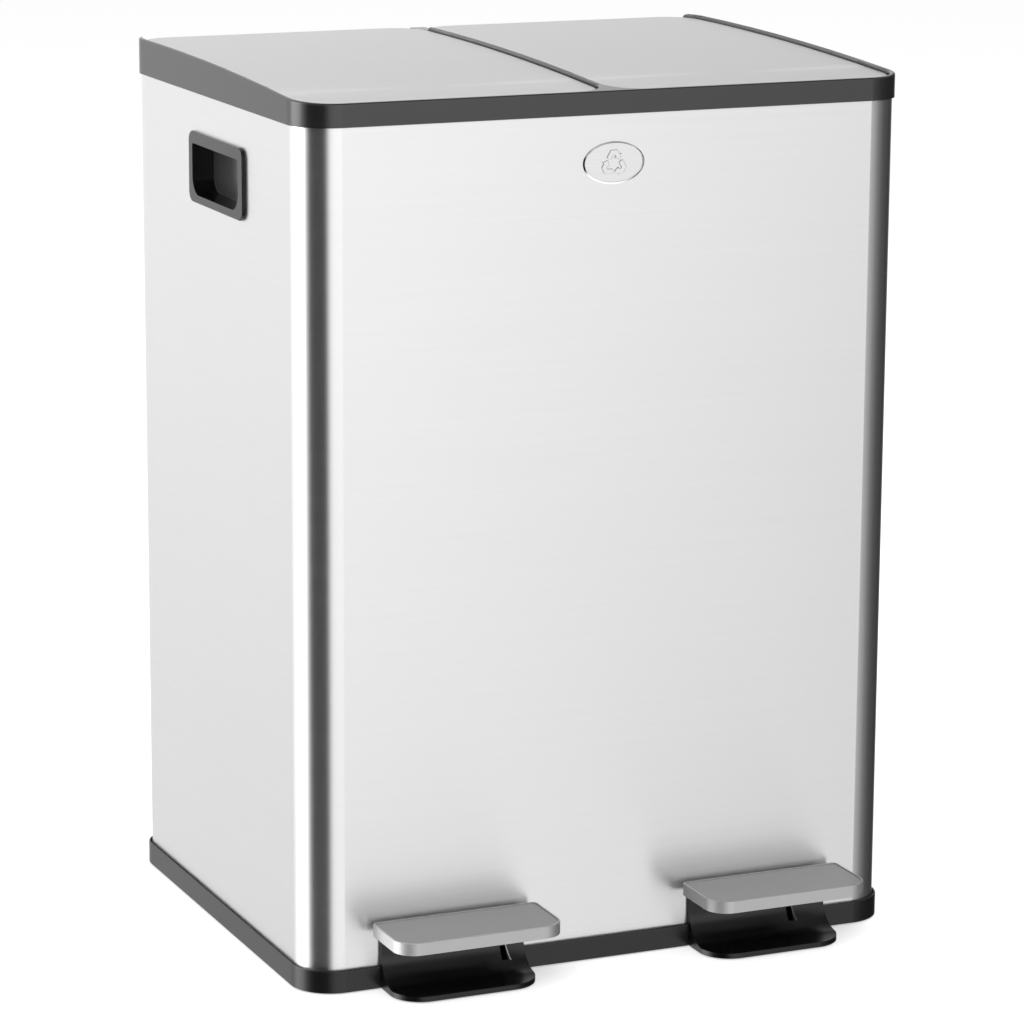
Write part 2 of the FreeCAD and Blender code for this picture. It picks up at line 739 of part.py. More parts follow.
# ------------------------------------------------------------------ levers, rods and pedals
def make_lever(side):
    """Steel lever on edge, with a folded flange that carries the pedal."""
    x = lever_x(side)
    t = lever_thick / 2
    d = lever_depth / 2
    front = -half_d - pedal_front + 12
    under = pedal_top - pedal_height + pedal_hollow
    neck = -half_d - pedal_back - pedal_wall - 0.6
    passing = pedal_top - pedal_height - 0.8
    outline = [
        (front, under),
        (front, under - 7),
        (neck - 6, under - 9),
        (neck, pivot_z + 2),
        (-half_d + 8, pivot_z + 1),
        (pivot_y, pivot_z - d - 1),
        (rod_y + 8, rod_bottom_z - d),
        (rod_y + 8, rod_bottom_z + d),
        (pivot_y, pivot_z + d + 1),
        (-half_d + 8, passing),
        (neck, passing),
        (neck, under),
    ]
    lever = side_profile(outline, x - t, x + t)
    reach = 62.0
    flange = slab(x - reach, x + t, front, neck, under - flange_thick, under, (3.0, 0.5, 0.5, 3.0))
    lever = lever.fuse(flange)
    lever = lever.cut(rod_x(x - 5, x + 5, pivot_y, pivot_z, pivot_r + hinge_run))
    room = rod_r + hook_play
    slot = block(x - 5, x + 5, rod_y - hook_slide, rod_y + hook_slide, rod_bottom_z - room,
                 rod_bottom_z + room)
    for y in (rod_y - hook_slide, rod_y + hook_slide):
        slot = slot.fuse(rod_x(x - 5, x + 5, y, rod_bottom_z, room))
    for sx, sy in pedal_screw_places(side):
        lever = lever.cut(Part.makeCylinder(screw_r + screw_run, 10, Vec(sx, sy, under - 6)))
    return lever.cut(slot).removeSplitter()


def pedal_screw_places(side):
    x = lever_x(side)
    y = -half_d - (pedal_front + pedal_back) / 2
    return [(x - 14.0, y), (x - 48.0, y)]


def pan_screw(x, y, head_z, length, up):
    """Screw on a vertical axis: its head seats at head_z and its shank runs up or down."""
    way = 1 if up else -1
    head = Part.makeCylinder(screw_head_r, 1.8, Vec(x, y, head_z), Vec(0, 0, -way))
    shank = Part.makeCylinder(screw_r, length, Vec(x, y, head_z), Vec(0, 0, way))
    return head.fuse(shank)


def make_pedal_screws(side):
    under = pedal_top - pedal_height + pedal_hollow - flange_thick
    screws = [pan_screw(x, y, under, flange_thick + screw_bite, True) for x, y in pedal_screw_places(side)]
    return Part.makeCompound(screws)


def pedal_plan(side):
    x = side_sign(side) * pedal_x
    return x - pedal_half, x + pedal_half, -half_d - pedal_front, -half_d - pedal_back


def make_pedal_trim(side):
    """Silver surround: a rim round the pad, a web under it and a hollow underside."""
    x0, x1, y0, y1 = pedal_plan(side)
    fr = pedal_front_r
    br = pedal_back_r
    low = pedal_top - pedal_height
    trim = slab(x0, x1, y0, y1, low, pedal_top, (fr, fr, br, br))
    trim = round_edges(trim, 0.5, level_edges(pedal_top))
    m = pedal_rim
    seat_r = (fr - m, fr - m, br - m, br - m)
    seat_z = pedal_top - pad_sunk - pad_thick
    seat = slab(x0 + m, x1 - m, y0 + m, y1 - m, seat_z, pedal_top + 1, seat_r)
    w = pedal_wall
    hollow_r = (fr - w, fr - w, br - w, br - w)
    hollow = slab(x0 + w, x1 - w, y0 + w, y1 - w, low - 1, low + pedal_hollow, hollow_r)
    trim = cut_all(trim, [seat, hollow])
    for x, y in pedal_screw_places(side):
        hole = Part.makeCylinder(screw_r + screw_run, screw_bite + 0.2, Vec(x, y, low + pedal_hollow))
        trim = trim.cut(hole)
    return trim


def make_pedal_pad(side):
    x0, x1, y0, y1 = pedal_plan(side)
    m = pedal_rim + pad_gap
    top = pedal_top - pad_sunk
    radii = (pedal_front_r - m, pedal_front_r - m, pedal_back_r - m, pedal_back_r - m)
    return slab(x0 + m, x1 - m, y0 + m, y1 - m, top - pad_thick, top, radii)


def make_guard(side):
    """Scoop under a pedal: upright wall, a wide bend and a lip on the floor."""
    x = side_sign(side) * pedal_x
    low = foot_proud
    face = -half_d - guard_wall
    back = -half_d - seat_gap
    lip_top = low + guard_lip
    front = -half_d - guard_front
    r = guard_bend_r
    centre = Vec(x - guard_half, face - r, lip_top + r)
    a = radians(-45)
    bend = Part.Arc(centre + Vec(0, r, 0), centre + Vec(0, r * cos(a), r * sin(a)), centre + Vec(0, 0, -r))
    x0 = x - guard_half

    def at(y, z):
        return Vec(x0, y, z)

    edges = [
        Part.LineSegment(at(back, low), at(back, guard_top)).toShape(),
        Part.LineSegment(at(back, guard_top), at(face, guard_top)).toShape(),
        Part.LineSegment(at(face, guard_top), at(face, lip_top + r)).toShape(),
        bend.toShape(),
        Part.LineSegment(at(face - r, lip_top), at(front, lip_top)).toShape(),
        Part.LineSegment(at(front, lip_top), at(front, low)).toShape(),
        Part.LineSegment(at(front, low), at(back, low)).toShape(),
    ]
    guard = Part.Face(Part.Wire(edges)).extrude(Vec(2 * guard_half, 0, 0))
    c = guard_corner_r
    plan = slab(x0, x0 + 2 * guard_half, front, back + 1, low - 1, guard_top + 1, (c, c, 0.5, 0.5))
    guard = guard.common(plan)
    hollow = block(x0 + 12, x0 + 2 * guard_half - 12, face - 8, back + 0.01, low - 1, low + 2.6)
    guard = guard.cut(hollow)
    lever = lever_x(side)
    s = slot_width / 2
    slot = block(lever - s, lever + s, front, back + 1, slot_bottom, guard_top + 1)
    tongue = block(x - 30, x + 30, back - 12, -half_d + 26, low + 0.2, tray_floor_z - seat_gap)
    guard = guard.fuse(block(x - 30, x + 30, back - 8.5, back, low + 0.2, low + 4.0))
    guard = cut_all(guard.fuse(tongue), [slot])
    for sx, sy in guard_screw_places(side):
        guard = guard.cut(Part.makeCylinder(screw_r + screw_run, 10, Vec(sx, sy, low - 3)))
        guard = guard.cut(Part.makeCylinder(screw_head_r + seat_gap, guard_screw_seat, Vec(sx, sy, low)))
    return guard.removeSplitter()


def guard_screw_places(side):
    x = side_sign(side) * pedal_x
    return [(x - 20.0, -half_d + 18), (x + 20.0, -half_d + 18)]


def make_guard_screws():
    screws = []
    head_z = foot_proud + guard_screw_seat
    for side in ("left", "right"):
        for x, y in guard_screw_places(side):
            head = Part.makeCylinder(screw_head_r, 1.0, Vec(x, y, head_z - 1.0))
            shank = Part.makeCylinder(screw_r, tray_floor_z + tray_floor - head_z, Vec(x, y, head_z))
            screws.append(head.fuse(shank))
    return Part.makeCompound(screws)


def bracket_screw_places(side):
    x = lever_x(side)
    reach = lever_thick / 2 + bracket_gap + bracket_sheet + bracket_foot / 2
    return [(x - reach, pivot_y), (x + reach, pivot_y)]


def make_pivot_bracket(side):
    """Folded steel bracket on the tray floor: two cheeks with feet turned out."""
    x = lever_x(side)
    floor = tray_floor_z + tray_floor
    near = lever_thick / 2 + bracket_gap
    pieces = []
    for sign in (-1, 1):
        a = x + sign * near
        b = a + sign * bracket_sheet
        c = b + sign * bracket_foot
        cheek = block(min(a, b), max(a, b), pivot_y - bracket_half, pivot_y + bracket_half,
                      floor, pivot_z + bracket_over)
        cheek = cheek.fuse(block(min(a, c), max(a, c), pivot_y - bracket_half, pivot_y + bracket_half,
                                 floor, floor + bracket_sheet))
        pieces.append(cheek)
    tie = block(x - near - 0.1, x + near + 0.1, pivot_y - bracket_half, pivot_y + bracket_half,
                floor, floor + bracket_sheet)
    bracket = fuse_all(pieces + [tie])
    bracket = round_edges(bracket, 5.0, bracket_corner)
    bracket = bracket.cut(rod_x(x - 10, x + 10, pivot_y, pivot_z, pivot_r + hinge_run))
    for sx, sy in bracket_screw_places(side):
        bracket = bracket.cut(Part.makeCylinder(screw_r + screw_run, 5, Vec(sx, sy, floor - 1)))
    return bracket


def bracket_corner(edge):
    box = edge.BoundBox
    return abs(box.ZMin - pivot_z - bracket_over) < 0.01 and box.XLength > 1 and box.YLength < 0.01


def make_bracket_screws():
    floor = tray_floor_z + tray_floor
    screws = []
    for side in ("left", "right"):
        for x, y in bracket_screw_places(side):
            screws.append(pan_screw(x, y, floor + bracket_sheet, bracket_sheet + tray_floor, False))
    return Part.makeCompound(screws)


def make_pivot_pin(side):
    x = lever_x(side)
    reach = lever_thick / 2 + bracket_gap + bracket_sheet + 0.3
    pin = rod_x(x - reach, x + reach + 1.5, pivot_y, pivot_z, pivot_r)
    for x0 in (x - reach - 1.5, x + reach):
        pin = pin.fuse(rod_x(x0, x0 + 1.5, pivot_y, pivot_z, pivot_r + 1.8))
    return pin


def make_lift_rod(side):
    """Wire rod hooked into the lever below and into the lid's crank slot above."""
    x = lever_x(side) + rod_side
    hook = lever_x(side) - lever_thick / 2 - hook_out
    points = [
        Vec(hook, rod_y, rod_bottom_z),
        Vec(x, rod_y, rod_bottom_z),
        Vec(x, rod_y, rod_top_z),
        Vec(hook, rod_y, rod_top_z),
    ]
    return bent_wire(points, 2 * rod_r - 1.6, rod_r)


def make_rod_guide(side):
    """Plastic guide on the rear wall that keeps the rod upright."""
    x = lever_x(side) + rod_side
    arm = slab(x - 5, x + 5, rod_y - 5, inner_d - 2, guide_z, guide_z + guide_high, (4.9, 4.9, 0.4, 0.4))
    plate = block(x - 14, x + 14, inner_d - 2.5, inner_d, guide_z - 8, guide_z + guide_high + 8)
    guide = fuse_all([arm, plate])
    return guide.cut(Part.makeCylinder(rod_r + guide_bore, guide_high + 4, Vec(x, rod_y, guide_z - 2)))


# ------------------------------------------------------------------ inside
def make_inner_floor():
    """Raised floor over the levers, standing on four long webs."""
    w = inner_w - 3.5
    front = -inner_d + 5.0
    low = platform_top - platform_thick
    floor = slab(-w, w, front, platform_rear, low, platform_top, 20.0)
    stand = tray_floor_z + tray_floor + rib_high + seat_gap
    for x in (-w + 3, -8.0, 8.0, w - 3):
        floor = floor.fuse(block(x - 1.25, x + 1.25, front + 22, platform_rear - 22, stand, low + 0.5))
    return floor.removeSplitter()


def bucket_plan(side):
    sign = side_sign(side)
    a = sign * (opening_inner + bucket_fit)
    b = sign * (opening_outer - bucket_fit)
    return min(a, b), max(a, b), opening_front + bucket_fit, opening_rear - bucket_fit


def make_bucket(side):
    """Tapered lift-out bucket with a flat rim and two ears for the bail."""
    x0, x1, y0, y1 = bucket_plan(side)
    top = ledge_top + seat_gap + bucket_rim
    d = bucket_draft
    r = opening_r - bucket_fit
    upper = rounded_wire(x0, x1, y0, y1, top, (r,) * 4)
    lower = rounded_wire(x0 + d, x1 - d, y0 + d, y1 - d, bucket_bottom, (r,) * 4)
    body = Part.makeLoft([lower, upper], True, True)
    body = round_edges(body, bucket_foot_r, level_edges(bucket_bottom))
    t = bucket_wall
    upper = rounded_wire(x0 + t, x1 - t, y0 + t, y1 - t, top + 0.01, (r - t,) * 4)
    lower = rounded_wire(x0 + d + t, x1 - d - t, y0 + d + t, y1 - d - t, bucket_bottom + bucket_floor,
                         (r - t,) * 4)
    hollow = Part.makeLoft([lower, upper], True, True)
    hollow = round_edges(hollow, bucket_foot_r - bucket_wall, level_edges(bucket_bottom + bucket_floor))
    out = bucket_rim_out + bucket_fit
    rim = slab(x0 - out, x1 + out, y0 - out, y1 + out, top - bucket_rim, top, r + out)
    bucket = body.fuse(rim).cut(hollow)
    for sign, x in ((-1, x0), (1, x1)):
        a = x + sign * ear_near
        b = x + sign * ear_far
        ear = block(min(a, b), max(a, b), bail_pivot_y - ear_half, bail_pivot_y + ear_half,
                    top - 0.5, bail_z + ear_over)
        ear = round_edges(ear, 4.5, ear_corner)
        bucket = bucket.fuse(ear)
        bucket = bucket.cut(rod_x(min(a, b) - 1, max(a, b) + 1, bail_pivot_y, bail_z, bail_r + bail_bore))
    return bucket.removeSplitter()


def ear_corner(edge):
    box = edge.BoundBox
    return abs(box.ZMin - bail_z - ear_over) < 0.01 and box.XLength > 1 and box.YLength < 0.01


def bail_rear_y():
    return opening_rear - bucket_fit + 3.0


def make_bail(side):
    """Wire bail folded back onto the bucket's rear rim."""
    x0, x1, y0, y1 = bucket_plan(side)
    inside = 4.5
    rear = bail_rear_y()
    points = [
        Vec(x0 - bail_end, bail_pivot_y, bail_z),
        Vec(x0 + inside, bail_pivot_y, bail_z),
        Vec(x0 + inside, rear, bail_z),
        Vec(x1 - inside, rear, bail_z),
        Vec(x1 - inside, bail_pivot_y, bail_z),
        Vec(x1 + bail_end, bail_pivot_y, bail_z),
    ]
    return bent_wire(points, 3.2, bail_r)


def make_bail_grip(side):
    x0, x1, y0, y1 = bucket_plan(side)
    middle = (x0 + x1) / 2
    grip = rod_x(middle - grip_half, middle + grip_half, bail_rear_y(), bail_z, grip_r)
    return grip.cut(rod_x(middle - grip_half - 1, middle + grip_half + 1, bail_rear_y(), bail_z,
                          bail_r + 0.05))


# ------------------------------------------------------------------ handles and badge
def cup_box():
    """Outline of a handle cup's body in the side wall: y0, y1, z0, z1."""
    half = grip_len / 2 + cup_wall
    return handle_y - half, handle_y + half, grip_low - cup_wall, grip_high + cup_wall


def upright_slab(y0, y1, z0, z1, x0, x1, radii):
    """Rounded prism along X; radii are front low, rear low, rear high, front high."""
    shape = slab(y0, y1, z0, z1, 0, x1 - x0, radii)
    shape.rotate(Vec(0, 0, 0), Vec(1, 1, 1), 120)
    shape.translate(Vec(x0, 0, 0))
    return shape


def make_handle_cup(side):
    """Recessed grip: flange on the steel and a cup behind it, tighter at its top corners."""
    y0, y1, z0, z1 = cup_box()
    face = half_w + handle_proud
    half = handle_len / 2
    flange = upright_slab(handle_y - half, handle_y + half, handle_z - handle_high / 2,
                          handle_z + handle_high / 2, half_w, face, (handle_r,) * 4)
    flange = round_edges(flange, 1.0, flange_rim(face))
    rb = grip_bottom_r + cup_wall
    rt = grip_top_r + cup_wall
    cup = upright_slab(y0, y1, z0, z1, face - grip_depth - cup_wall, half_w + 0.5, (rb, rb, rt, rt))
    low = (grip_bottom_r, grip_bottom_r, grip_top_r, grip_top_r)
    pocket = upright_slab(y0 + cup_wall, y1 - cup_wall, z0 + cup_wall, z1 - cup_wall,
                          face - grip_depth, face + 1, low)
    handle = flange.fuse(cup).cut(pocket).removeSplitter()
    return handle if side == "right" else mirror_x(handle)


def flange_rim(face):
    def wanted(edge):
        box = edge.BoundBox
        return abs(box.XMin - face) < 0.01 and abs(box.XMax - face) < 0.01
    return wanted


def make_front_badge():
    """Shallow oval plate on the front, with a softened edge."""
    ellipse = Part.Ellipse(Vec(0, 0, 0), badge_len / 2, badge_high / 2)
    face = Part.Face(Part.Wire([ellipse.toShape()]))
    plate = face.extrude(Vec(0, 0, badge_thick))
    plate = plate.makeChamfer(badge_bevel, [e for e in plate.Edges if level_edges(badge_thick)(e)])
    plate.rotate(Vec(0, 0, 0), X_AXIS, 90)
    plate.translate(Vec(0, -half_d, badge_z))
    return plate


# ------------------------------------------------------------------ build
def build():
    export("body_shell", make_body_shell())
    export("base_tray", make_base_tray())
    export("rubber_feet", make_rubber_feet())
    export("top_frame", make_top_frame())
    export("inner_floor", make_inner_floor())
    export("front_badge", make_front_badge())
    export("guard_screws", make_guard_screws())
    export("bracket_screws", make_bracket_screws())
    for side in ("left", "right"):
        export("handle_cup_" + side, make_handle_cup(side))
        export("lid_panel_" + side, make_lid_panel(side))
        export("lid_liner_" + side, make_lid_liner(side))
        export("lid_bumpers_" + side, make_lid_bumpers(side))
        export("hinge_pins_" + side, make_hinge_pins(side))
        export("lift_rod_" + side, make_lift_rod(side))
        export("rod_guide_" + side, make_rod_guide(side))
        export("pedal_lever_" + side, make_lever(side))
        export("pedal_trim_" + side, make_pedal_trim(side))
        export("pedal_pad_" + side, make_pedal_pad(side))
        export("pedal_screws_" + side, make_pedal_screws(side))
        export("pedal_guard_" + side, make_guard(side))
        export("pivot_bracket_" + side, make_pivot_bracket(side))
        export("pivot_pin_" + side, make_pivot_pin(side))
        export("bucket_" + side, make_bucket(side))
        export("bucket_bail_" + side, make_bail(side))
        export("bail_grip_" + side, make_bail_grip(side))
    print("lid opens", lid_open, "degrees")
    print("lever swings", round(lever_swing, 3), "degrees, rod lifts", round(rod_travel, 3), "mm")
    print("lid hinge", round(hinge_y - footprint_middle, 3), hinge_z)
    print("lever pivot", round(pivot_y - footprint_middle, 3), pivot_z)


build()
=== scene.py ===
"""Studio scene for the double pedal bin: finishes, small details, light and camera.

Metres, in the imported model's frame: +Z up, the front faces -Y, +X to the right of the front.
"""
import json
import math

import bmesh
import bpy
from mathutils import Matrix, Vector

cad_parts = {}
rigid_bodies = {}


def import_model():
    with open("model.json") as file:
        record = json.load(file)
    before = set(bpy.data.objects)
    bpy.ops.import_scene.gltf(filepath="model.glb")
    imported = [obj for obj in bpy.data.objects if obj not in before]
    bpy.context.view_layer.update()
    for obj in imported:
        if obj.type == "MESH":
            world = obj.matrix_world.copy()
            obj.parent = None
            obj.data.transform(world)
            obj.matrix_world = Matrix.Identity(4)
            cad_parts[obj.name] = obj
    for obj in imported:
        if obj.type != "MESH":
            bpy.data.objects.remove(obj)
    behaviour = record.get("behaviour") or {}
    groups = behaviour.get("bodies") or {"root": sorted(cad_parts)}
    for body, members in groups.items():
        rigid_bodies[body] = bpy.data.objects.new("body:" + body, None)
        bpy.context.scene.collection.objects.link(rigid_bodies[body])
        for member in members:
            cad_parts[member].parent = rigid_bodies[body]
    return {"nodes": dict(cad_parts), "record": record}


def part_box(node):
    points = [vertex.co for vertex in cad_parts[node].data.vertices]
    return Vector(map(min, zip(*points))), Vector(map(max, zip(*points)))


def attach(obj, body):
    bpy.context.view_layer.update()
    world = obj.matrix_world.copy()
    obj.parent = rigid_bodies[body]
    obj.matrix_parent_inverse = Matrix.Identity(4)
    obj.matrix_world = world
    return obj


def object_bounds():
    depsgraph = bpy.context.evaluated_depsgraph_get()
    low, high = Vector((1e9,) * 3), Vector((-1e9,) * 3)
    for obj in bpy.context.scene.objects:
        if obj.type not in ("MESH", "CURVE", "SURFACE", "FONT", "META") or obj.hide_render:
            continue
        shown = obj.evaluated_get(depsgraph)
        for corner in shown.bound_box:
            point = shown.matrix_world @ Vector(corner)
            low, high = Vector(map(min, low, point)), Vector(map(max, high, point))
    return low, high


for leftover in list(bpy.data.objects):
    bpy.data.objects.remove(leftover)

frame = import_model()
nodes = frame["nodes"]
cad_low, cad_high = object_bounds()
MM = 0.001
SIDE_SIGN = {"left": -1, "right": 1}


# ------------------------------------------------------------------ node helpers
def grey(value):
    return (value, value, value, 1.0)


class Graph:
    """A node tree with short calls for the nodes used here."""

    def __init__(self, tree):
        self.tree = tree
        self.coord = tree.nodes.new("ShaderNodeTexCoord").outputs["Object"]

    def node(self, kind, **inputs):
        made = self.tree.nodes.new(kind)
        for key, value in inputs.items():
            self.put(made.inputs[key.replace("_", " ")], value)
        return made

    def put(self, socket, value):
        if isinstance(value, bpy.types.NodeSocket):
            self.tree.links.new(value, socket)
        else:
            socket.default_value = value

    def math(self, operation, a, b):
        made = self.tree.nodes.new("ShaderNodeMath")
        made.operation = operation
        self.put(made.inputs[0], a)
        self.put(made.inputs[1], b)
        return made.outputs[0]

    def add(self, a, b):
        return self.math("ADD", a, b)

    def times(self, a, b):
        return self.math("MULTIPLY", a, b)

    def stretched(self, scale):
        made = self.tree.nodes.new("ShaderNodeMapping")
        self.put(made.inputs["Vector"], self.coord)
        made.inputs["Scale"].default_value = scale
        return made.outputs[0]

    def split(self, vector):
        made = self.node("ShaderNodeSeparateXYZ")
        self.put(made.inputs[0], vector)
        return made.outputs

    def noise(self, scale, detail=2.0, roughness=0.5):
        """Noise about 0.5; scale is one number or three, per metre."""
        vector = self.coord
        if isinstance(scale, tuple):
            vector = self.stretched(scale)
            scale = 1.0
        made = self.node("ShaderNodeTexNoise", Scale=scale, Detail=detail, Roughness=roughness)
        self.put(made.inputs["Vector"], vector)
        return made.outputs["Fac"]

    def remap(self, value, low, high, to_low, to_high):
        made = self.tree.nodes.new("ShaderNodeMapRange")
        self.put(made.inputs["Value"], value)
        for key, number in zip(("From Min", "From Max", "To Min", "To Max"),
                               (low, high, to_low, to_high)):
            self.put(made.inputs[key], number)
        return made.outputs["Result"]

    def around(self, value, middle, spread):
        """The usual reach of a noise turned into middle, give or take spread."""
        return self.remap(value, 0.3, 0.7, middle - spread, middle + spread)

    def blend(self, factor, first, second):
        made = self.tree.nodes.new("ShaderNodeMix")
        made.data_type = "RGBA"
        self.put(made.inputs["Factor"], factor)
        self.put(made.inputs[6], first)
        self.put(made.inputs[7], second)
        return made.outputs[2]

    def towards(self, value, goal, share):
        """Value moved towards a goal by a share from 0 to 1."""
        return self.add(value, self.times(self.math("SUBTRACT", goal, value), share))

    def bump(self, height, strength, distance, under=None):
        made = self.node("ShaderNodeBump", Height=height, Strength=strength, Distance=distance)
        if under is not None:
            self.put(made.inputs["Normal"], under)
        return made.outputs[0]


def new_material(name, **uniform):
    """Principled material; uniform values go straight on the shader's own sockets."""
    material = bpy.data.materials.new(name)
    material.use_nodes = True
    shader = material.node_tree.nodes["Principled BSDF"]
    for key, value in uniform.items():
        shader.inputs[key.replace("_", " ")].default_value = value
    return material, Graph(material.node_tree), shader


# ------------------------------------------------------------------ finishes
FINE_BUMP = 0.00001         # depth of grooves, orange peel and hairlines
COARSE_WIDTH = 5            # coarse grooves are this many times wider than fine ones
STREAK_WIDTH = 2.6          # and changes of polish this many times
STREAK_REACH = (0.38, 0.62)
FINE_SHARE = 0.6            # of the fine grooves in the grooves' tone
CLOUD_SHARE = 0.25
GRAIN_RUN = (90.0, 90.0, 900.0)
GRIP_DEPTH = 0.018          # from the handle's flange to the grip's back wall
BACK_EDGE = (0.4, 1.2)      # the painted light on that wall fades out between these, in millimetres off it
BACK_RUN = (-0.03, 0.05)    # from here to here along Y, the painted light goes from one factor to the other, darker towards the rear as painted shade
BACK_FALL = (1.25, 0.6)


def brushed_steel(name, shade, run, roughness, anisotropy, axis="Z", streak=0.008, grain=0.0):
    """Steel with fine grooves; run is the noise stretch per metre along X, Y and Z."""
    material, g, shader = new_material(name, Metallic=1.0, Anisotropic=anisotropy,
                                       Anisotropic_Rotation=0.25)
    fine = g.noise(run, detail=3.0, roughness=0.6)
    coarse = g.noise(tuple(s / COARSE_WIDTH for s in run))
    cloud = g.noise(4.0, detail=3.0)
    grooves = g.add(g.times(fine, FINE_SHARE), g.times(coarse, 1 - FINE_SHARE))
    tone = g.add(grooves, g.times(g.math("SUBTRACT", cloud, 0.5), CLOUD_SHARE))
    colour = g.blend(g.around(tone, 0.5, 0.5), grey(shade * 0.985), grey(shade * 1.015))
    g.put(shader.inputs["Base Color"], colour)
    streaks = g.noise(tuple(s / STREAK_WIDTH for s in run), detail=3.0)
    polish = g.remap(streaks, *STREAK_REACH, roughness - streak, roughness + streak)
    g.put(shader.inputs["Roughness"], polish)
    speck = g.noise(GRAIN_RUN)
    g.put(shader.inputs["Normal"], g.bump(fine, 0.25, FINE_BUMP, under=g.bump(speck, 1.0, grain)))
    tangent = g.tree.nodes.new("ShaderNodeTangent")
    tangent.direction_type = "RADIAL"
    tangent.axis = axis
    g.put(shader.inputs["Tangent"], tangent.outputs[0])
    return material


def satin_silver(name, shade, roughness):
    """Silver finish on a moulding: metallic, with a faint orange-peel surface."""
    material, g, shader = new_material(name, Metallic=1.0)
    cloud = g.noise(40.0, detail=4.0)
    speck = g.noise(2600.0)
    colour = g.blend(g.around(cloud, 0.5, 0.5), grey(shade * 0.98), grey(shade * 1.02))
    g.put(shader.inputs["Base Color"], colour)
    g.put(shader.inputs["Roughness"], g.around(cloud, roughness, 0.03))
    g.put(shader.inputs["Normal"], g.bump(speck, 0.15, FINE_BUMP))
    return material


def polished(name, shade, roughness):
    """Bright metal trim with faint handling haze and hairlines."""
    material, g, shader = new_material(name, Metallic=1.0)
    haze = g.noise(60.0, detail=3.0)
    hairlines = g.noise((300.0, 300.0, 3000.0))
    g.put(shader.inputs["Base Color"], g.blend(haze, grey(shade * 0.97), grey(shade * 1.03)))
    g.put(shader.inputs["Roughness"], g.around(haze, roughness, 0.03))
    g.put(shader.inputs["Normal"], g.bump(hairlines, 0.1, FINE_BUMP))
    return material


def moulded(name, shade, roughness, specular=0.5, grain=0.00003):
    """Plastic with a fine moulded grain and slight handling marks."""
    material, g, shader = new_material(name, Specular_IOR_Level=specular)
    cloud = g.noise(9.0, detail=4.0)
    speck = g.noise(1800.0)
    colour = g.blend(g.around(cloud, 0.5, 0.5), grey(shade * 0.9), grey(shade * 1.1))
    g.put(shader.inputs["Base Color"], colour)
    g.put(shader.inputs["Roughness"], g.around(cloud, roughness, 0.04))
    g.put(shader.inputs["Normal"], g.bump(speck, 0.3, grain))
    return material


def cup_plastic_painted_light(name, shade, roughness, specular, painted_back_light, back_x):
    """Gloss black moulding with painted light on its recessed back wall, at back_x from the middle: a paler
    grey there, brightest at the front and darker towards the rear as painted shade.
    """
    material = moulded(name, shade, roughness, specular=specular)
    g = Graph(material.node_tree)
    shader = material.node_tree.nodes["Principled BSDF"]
    gloss = shader.inputs["Base Color"].links[0].from_socket
    place = g.split(g.coord)
    across = g.math("ABSOLUTE", place["X"], 0.0)
    # Painted light: the grip's back wall is painted paler than the gloss black, and darker towards the rear
    # as painted shade.
    back = g.remap(across, back_x + BACK_EDGE[0] * MM, back_x + BACK_EDGE[1] * MM, 1.0, 0.0)
    along = g.remap(place["Y"], *BACK_RUN, painted_back_light * BACK_FALL[0], painted_back_light * BACK_FALL[1])
    painted_light = g.node("ShaderNodeCombineColor", Red=along, Green=along, Blue=along)
    g.put(shader.inputs["Base Color"], g.blend(back, gloss, painted_light.outputs[0]))
    return material


BADGE = brushed_steel("steel_badge", 0.78, (20.0, 20.0, 2600.0), 0.28, 0.5)
RIM = polished("badge_rim", 0.88, 0.16)
BAND = moulded("base_plastic", 0.006, 0.28, specular=0.55)
CUP = cup_plastic_painted_light("cup_plastic_painted_light", 0.004, 0.2, 0.5, 0.12, cad_high[0] - GRIP_DEPTH)
FINISH = {
    "steel_body": brushed_steel("steel_body", 0.82, (14.0, 14.0, 2400.0), 0.3, 0.75, streak=0.014,
                                grain=0.000015),
    "steel_lid": brushed_steel("steel_lid", 0.65, (18.0, 900.0, 900.0), 0.38, 0.3, axis="Y"),
    "steel_badge": BADGE,
    "frame_plastic": moulded("frame_plastic", 0.012, 0.24, specular=0.8),
    "guard_plastic": moulded("guard_plastic", 0.002, 0.3),
    "liner_plastic": moulded("liner_plastic", 0.03, 0.45),
    "bucket_plastic": moulded("bucket_plastic", 0.02, 0.4),
    "pedal_silver": satin_silver("pedal_silver", 0.64, 0.56),
    "pedal_grey": moulded("pedal_grey", 0.24, 0.42),
    "lever_steel": brushed_steel("lever_steel", 0.55, (300.0, 300.0, 300.0), 0.35, 0.0),
    "wire_steel": brushed_steel("wire_steel", 0.65, (200.0, 200.0, 200.0), 0.22, 0.0),
    "rubber": moulded("rubber", 0.012, 0.7, specular=0.3, grain=0.00006),
}
OWN_FINISH = {"base_tray": BAND, "handle_cup_left": CUP, "handle_cup_right": CUP}


def give_finishes():
    for part in frame["record"]["subparts"]:
        finish = OWN_FINISH.get(part["node"], FINISH[part["material_slot"]])
        for material_slot in nodes[part["node"]].material_slots:
            material_slot.material = finish


give_finishes()


# ------------------------------------------------------------------ small details
def add_piece(name, mesh, material, place, smooth=True):
    """New piece of the cabinet, in place, with its finish."""
    piece = bpy.data.objects.new(name, mesh)
    piece.location = place
    bpy.context.scene.collection.objects.link(piece)
    mesh.materials.append(material)
    mesh.polygons.foreach_set("use_smooth", [smooth] * len(mesh.polygons))
    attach(piece, "cabinet")
    return piece


